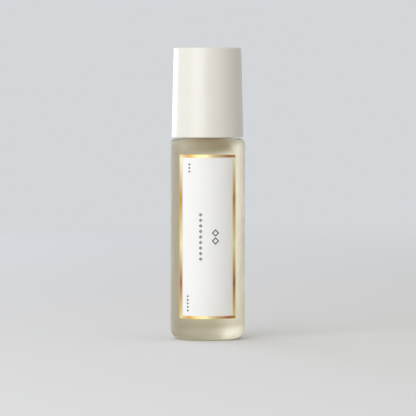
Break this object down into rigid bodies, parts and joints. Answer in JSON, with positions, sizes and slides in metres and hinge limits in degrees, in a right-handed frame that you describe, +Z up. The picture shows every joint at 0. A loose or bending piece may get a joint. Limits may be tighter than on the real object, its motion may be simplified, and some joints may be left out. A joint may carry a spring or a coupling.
{
  "type": "roll-on bottle",
  "caption": "Slim round frosted-glass roll-on perfume bottle with a steel roller ball in its neck, a tapered screw cap and a foil-bordered front label.",
  "frame": {"origin": "middle of the foot, on the surface that the bottle stands on", "axes": "+Z up along the bottle's axis, label facing -Y"},
  "size_m": [0.021, 0.0212, 0.0823],
  "materials": {
    "frosted_glass": "satin",
    "housing_plastic": "satin",
    "ball_steel": "polished",
    "perfume": "gloss",
    "cap_plastic": "gloss",
    "insert_plastic": "satin",
    "liner_foam": "matte",
    "label_paper": "matte",
    "gold_foil": "polished"
  },
  "bodies": {
    "bottle": {"glass_bottle": "frosted_glass", "ball_housing": "housing_plastic", "label_paper": "label_paper", "label_foil_border": "gold_foil", "perfume_fill": "perfume"},
    "ball": {"roller_ball": "ball_steel"},
    "liner": {"cap_liner": "liner_foam"},
    "cap": {"cap_shell": "cap_plastic", "cap_insert": "insert_plastic"}
  },
  "joints": [
    {"name": "ball_roll", "type": "hinge", "parent": "bottle", "child": "ball", "pos_m": [0, 0, 0.0688], "axis": [1, 0, 0], "continuous": true},
    {"name": "cap_lift", "type": "slide", "parent": "bottle", "child": "liner", "axis": [0, 0, 1], "range_m": [0, 0.018]},
    {"name": "cap_turn", "type": "hinge", "parent": "liner", "child": "cap", "pos_m": [0, 0, 0.066], "axis": [0, 0, 1], "range_deg": [0, 2160]}
  ],
  "couplings": [
    {"joint": "cap_lift", "follows": "cap_turn", "m_per_rad": 0.00047746}
  ]
}
